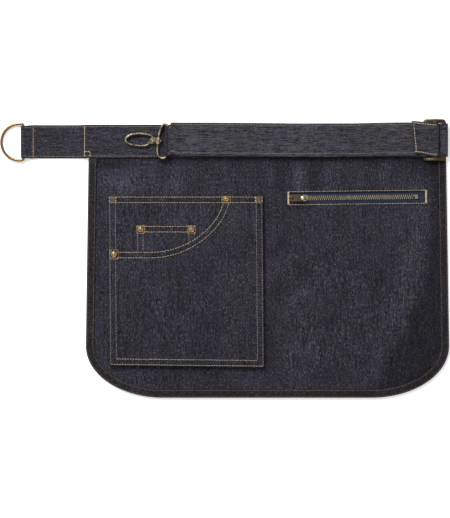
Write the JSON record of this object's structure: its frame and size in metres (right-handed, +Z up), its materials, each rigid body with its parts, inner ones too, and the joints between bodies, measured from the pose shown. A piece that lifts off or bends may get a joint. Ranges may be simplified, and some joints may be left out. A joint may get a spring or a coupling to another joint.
{
  "type": "waist apron",
  "caption": "Denim waist apron lying flat: panel with folded edge, scooped patch pocket with coin pocket, zip, adjustable belt with D-ring, slider and snap hook",
  "frame": {"origin": "middle of the apron's bounding box, on the surface that it lies on", "axes": "+X along the belt from the D-ring to the slider, +Y from the panel's foot to the belt, +Z up from the surface"},
  "size_m": [0.5384, 0.3334, 0.012],
  "materials": {
    "denim": "dark indigo twill, raw",
    "denim_edge": "dark indigo twill, folded edge",
    "denim_strap": "dark indigo twill, folded strap",
    "ring_brass": "antique brass wire",
    "antique_brass": "dark antique brass",
    "gold_brass": "bright worn brass",
    "rivet_copper": "copper-gold rivet cap",
    "zip_tape": "woven navy tape",
    "zip_metal": "antique brass zip"
  },
  "bodies": {
    "root": {"apron_panel": "denim", "edge_binding": "denim_edge", "waist_belt": "denim_strap", "adjust_strap": "denim_strap", "ring_strap": "denim_strap", "strap_slider": "antique_brass", "pocket_back": "denim", "coin_pocket": "denim", "pocket_front": "denim", "rivet_top": "rivet_copper", "rivet_side": "rivet_copper", "rivet_coin_left": "rivet_copper", "rivet_coin_right": "rivet_copper", "zip_tape_upper": "zip_tape", "zip_tape_lower": "zip_tape", "zip_chain": "zip_metal", "zip_end_stop": "zip_metal", "zip_slider": "zip_metal", "zip_pocket_bag": "denim"},
    "ring": {"d_ring": "ring_brass"},
    "bail": {"hook_bail": "antique_brass"},
    "hook": {"hook_body": "antique_brass"},
    "gate": {"hook_gate": "gold_brass"},
    "pull": {"zip_pull": "zip_metal"}
  },
  "joints": [
    {"name": "ring_swing", "type": "hinge", "parent": "root", "child": "ring", "pos_m": [-0.24081, 0.13965, 0.0034], "axis": [0, 1, 0], "range_deg": [0, 120]},
    {"name": "bail_swing", "type": "hinge", "parent": "root", "child": "bail", "pos_m": [-0.06861, 0.14015, 0.00758], "axis": [0.061, 0.9981, 0], "range_deg": [0, 120]},
    {"name": "hook_swivel", "type": "hinge", "parent": "bail", "child": "hook", "pos_m": [-0.07958, 0.14082, 0.0066], "axis": [-0.9981, 0.061, 0.0122], "range_deg": [-4, 4]},
    {"name": "gate_press", "type": "hinge", "parent": "hook", "child": "gate", "pos_m": [-0.08584, 0.14, 0.00668], "axis": [-0.0122, 0.0007, -0.9999], "range_deg": [0, 24], "stiffness_Nm_per_rad": 0.05},
    {"name": "pull_swing", "type": "hinge", "parent": "root", "child": "pull", "pos_m": [0.0933, 0.07256, 0.0046], "axis": [-0.012, 0.9999, 0], "range_deg": [0, 175]}
  ]
}
